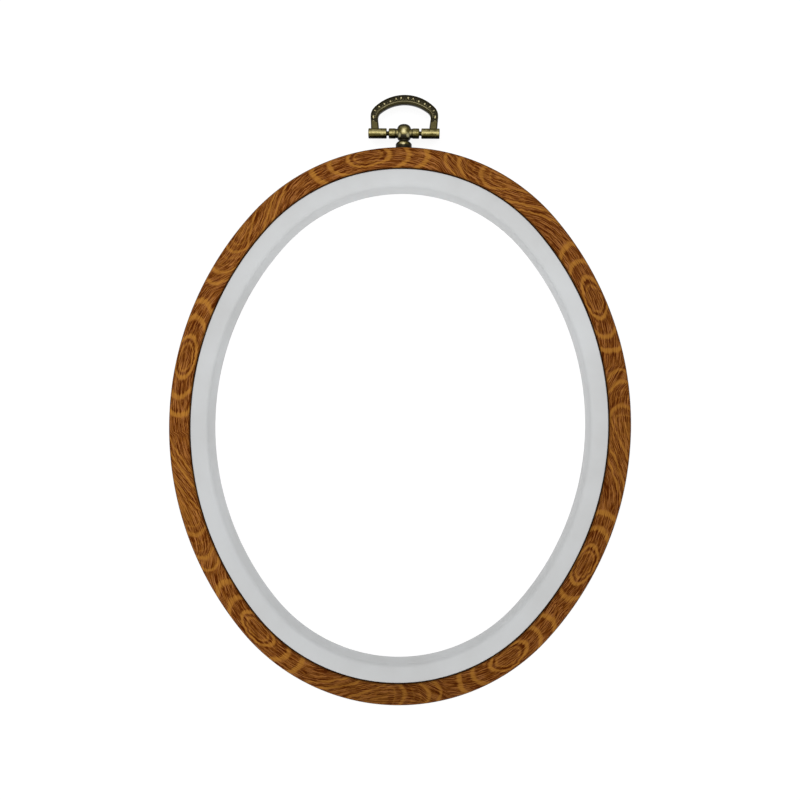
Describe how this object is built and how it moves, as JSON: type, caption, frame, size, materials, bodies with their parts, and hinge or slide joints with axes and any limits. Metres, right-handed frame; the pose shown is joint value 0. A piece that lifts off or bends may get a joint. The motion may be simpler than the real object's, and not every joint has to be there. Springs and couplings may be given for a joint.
{
  "type": "embroidery hoop",
  "caption": "Oval embroidery hoop: a soft wood-grained outer ring grips cloth on a rigid inner ring, and a swinging metal bail hangs it up.",
  "frame": {"origin": "middle of the oval, in the back plane that the hoop lies on", "axes": "+X to the right seen from the front, +Y along the oval's long axis towards the hanger, +Z out of the front"},
  "size_m": [0.1544, 0.205, 0.01],
  "materials": {
    "vinyl_woodgrain": "soft vinyl printed with an ochre and brown wood grain, satin",
    "white_plastic": "smooth satin moulding, cool white",
    "antique_brass": "aged brass plate, dark in the hollows and worn bright on the high spots",
    "zinc_steel": "zinc plated steel"
  },
  "bodies": {
    "inner_ring": {"inner_ring": "white_plastic"},
    "outer_ring": {"outer_ring": "vinyl_woodgrain", "base_collar": "antique_brass", "screw_washer": "zinc_steel"},
    "hanger_head": {"ball_head": "antique_brass", "hinge_pin": "antique_brass", "fixing_screw": "zinc_steel"},
    "bail": {"bail": "antique_brass"}
  },
  "joints": [
    {"name": "outer_ring_lift", "type": "slide", "parent": "inner_ring", "child": "outer_ring", "axis": [0, 0, 1], "range_m": [0, 0.02]},
    {"name": "hanger_turn", "type": "hinge", "parent": "outer_ring", "child": "hanger_head", "pos_m": [0, 0.09315, 0.0058], "axis": [0, 1, 0], "continuous": true},
    {"name": "bail_swing", "type": "hinge", "parent": "hanger_head", "child": "bail", "pos_m": [0, 0.09885, 0.0058], "axis": [1, 0, 0], "range_deg": [-112, 112]}
  ]
}
